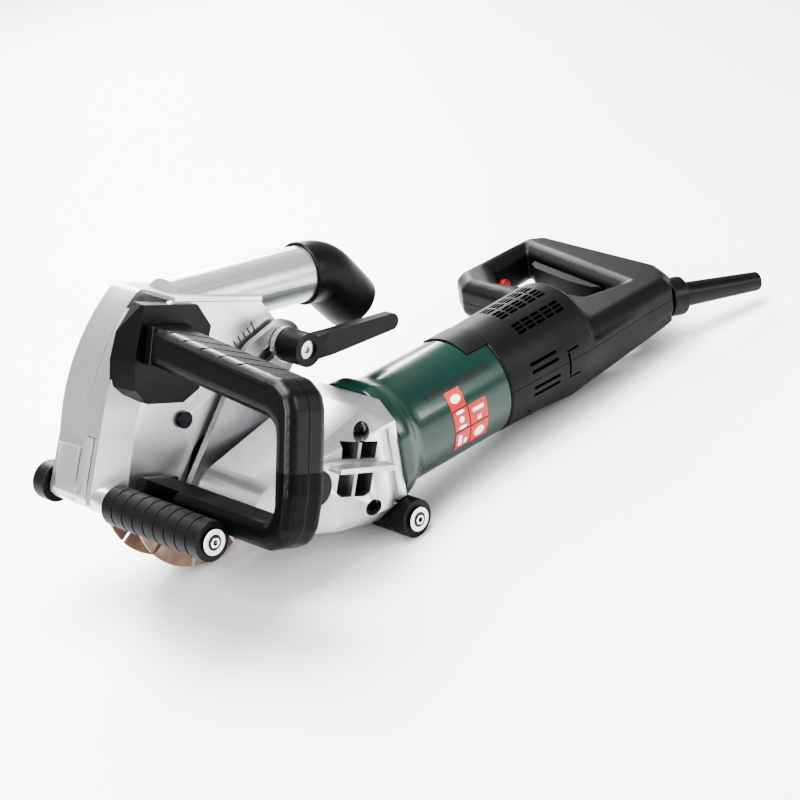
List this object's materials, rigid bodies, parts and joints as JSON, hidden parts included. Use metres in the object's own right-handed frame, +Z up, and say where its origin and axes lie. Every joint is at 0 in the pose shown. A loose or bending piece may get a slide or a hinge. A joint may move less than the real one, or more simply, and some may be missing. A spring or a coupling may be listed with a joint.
{
  "type": "wall chaser",
  "caption": "Hand-held wall chaser with paired diamond discs in a hinged metal guard, dust outlet elbow, front loop handle, motor barrel and rear loop grip",
  "frame": {"origin": "middle of the overall box at its bottom, on the floor the tool lies on", "axes": "+X from the guard to the cord end, +Y from the motor side to the guard side, +Z up"},
  "size_m": [0.6344, 0.2584, 0.2294],
  "materials": {
    "die_cast": "satin",
    "hood_metal": "fine brushed",
    "steel": "turned",
    "bright_steel": "polished",
    "green_housing": "gloss",
    "charcoal_housing": "fine texture",
    "black_plastic": "satin",
    "grip_rubber": "soft",
    "roller_rubber": "matt",
    "red_plastic": "gloss",
    "label": "printed",
    "scale_paint": "printed",
    "segment_metal": "sintered rim",
    "winding_copper": "enamelled",
    "laminations": "stacked",
    "brass": "bright",
    "carbon": "dull",
    "board_green": "coated"
  },
  "bodies": {
    "motor_unit": {"gear_housing": "die_cast", "swing_bracket": "die_cast", "spindle_bearings": "steel", "bearing_cap": "steel", "gear_screws": "steel", "motor_housing": "green_housing", "label_plate": "label", "stator_core": "laminations", "field_coils": "winding_copper", "armature_bearings": "steel", "rear_housing_upper": "charcoal_housing", "rear_housing_lower": "charcoal_housing", "housing_screws": "steel", "brush_flaps": "charcoal_housing", "brush_holders": "brass", "carbon_brushes": "carbon", "switch_module": "black_plastic", "control_board": "board_green", "cable_gland": "grip_rubber", "bend_sleeve": "grip_rubber", "cord_clamp": "steel", "rear_axle": "bright_steel"},
    "armature": {"armature_shaft": "steel", "armature_core": "laminations", "commutator": "winding_copper", "fan": "black_plastic", "pinion": "steel"},
    "spindle_unit": {"spindle": "steel", "crown_gear": "steel", "inner_flange": "steel", "disc_near": "segment_metal", "disc_far": "segment_metal", "disc_spacer": "steel", "disc_nut": "steel"},
    "trigger": {"trigger": "black_plastic"},
    "lock_button": {"lock_button": "red_plastic"},
    "spindle_lock": {"spindle_lock": "black_plastic"},
    "clamp_lever": {"clamp_lever": "black_plastic", "lever_bolt": "bright_steel"},
    "guard": {"hood_shell": "hood_metal", "handle_pad": "black_plastic", "d_handle_frame": "black_plastic", "d_handle_grip": "grip_rubber", "handle_screws": "steel", "front_axle": "bright_steel", "depth_scale": "scale_paint", "cover_screw": "steel", "hood_bolt": "steel", "clamp_stud": "steel"},
    "cover": {"hood_cover": "hood_metal"},
    "elbow": {"dust_elbow": "grip_rubber"},
    "front_roller": {"front_roller": "roller_rubber"},
    "front_ring": {"front_ring": "roller_rubber"},
    "rear_roller": {"rear_roller": "roller_rubber"},
    "rear_ring": {"rear_ring": "roller_rubber"}
  },
  "joints": [
    {"name": "depth_swing", "type": "hinge", "parent": "motor_unit", "child": "guard", "pos_m": [-0.11677, 0.05975, 0.015], "axis": [0, -1, 0], "range_deg": [0, 11]},
    {"name": "cover_hinge", "type": "hinge", "parent": "guard", "child": "cover", "pos_m": [-0.30222, 0.07975, 0.09757], "axis": [0, -1, 0], "range_deg": [0, 60]},
    {"name": "elbow_swivel", "type": "hinge", "parent": "cover", "child": "elbow", "pos_m": [-0.05872, 0.07375, 0.16891], "axis": [0.9744, 0, -0.225], "range_deg": [-45, 45]},
    {"name": "clamp_lever_turn", "type": "hinge", "parent": "guard", "child": "clamp_lever", "pos_m": [-0.12582, 0.01975, 0.1471], "axis": [0, -1, 0], "range_deg": [0, 70]},
    {"name": "spindle_spin", "type": "hinge", "parent": "motor_unit", "child": "spindle_unit", "pos_m": [-0.22116, -0.01175, 0.06695], "axis": [0, 1, 0], "continuous": true},
    {"name": "armature_spin", "type": "hinge", "parent": "motor_unit", "child": "armature", "pos_m": [-0.07137, -0.01175, 0.0591], "axis": [0.9986, 0, -0.0523], "continuous": true},
    {"name": "trigger_pull", "type": "hinge", "parent": "motor_unit", "child": "trigger", "pos_m": [0.20397, 0.01107, 0.04467], "axis": [-0.0523, 0, -0.9986], "range_deg": [0, 5], "stiffness_Nm_per_rad": 1.5, "springref_deg": -5.73},
    {"name": "lock_press", "type": "slide", "parent": "motor_unit", "child": "lock_button", "axis": [0, 1, 0], "range_m": [0, 0.003], "stiffness_N_per_m": 400, "springref_m": -0.003},
    {"name": "spindle_lock_press", "type": "slide", "parent": "motor_unit", "child": "spindle_lock", "axis": [0, 1, 0], "range_m": [0, 0.002], "stiffness_N_per_m": 600, "springref_m": -0.003},
    {"name": "front_roller_spin", "type": "hinge", "parent": "guard", "child": "front_roller", "pos_m": [-0.30222, -0.01625, 0.09757], "axis": [0, 1, 0], "continuous": true},
    {"name": "front_ring_spin", "type": "hinge", "parent": "guard", "child": "front_ring", "pos_m": [-0.30222, 0.11475, 0.09757], "axis": [0, 1, 0], "continuous": true},
    {"name": "rear_roller_spin", "type": "hinge", "parent": "motor_unit", "child": "rear_roller", "pos_m": [-0.11677, -0.02625, 0.015], "axis": [0, 1, 0], "continuous": true},
    {"name": "rear_ring_spin", "type": "hinge", "parent": "motor_unit", "child": "rear_ring", "pos_m": [-0.11677, 0.11475, 0.015], "axis": [0, 1, 0], "continuous": true}
  ],
  "couplings": [
    {"joint": "armature_spin", "follows": "spindle_spin", "ratio": -3.6}
  ]
}
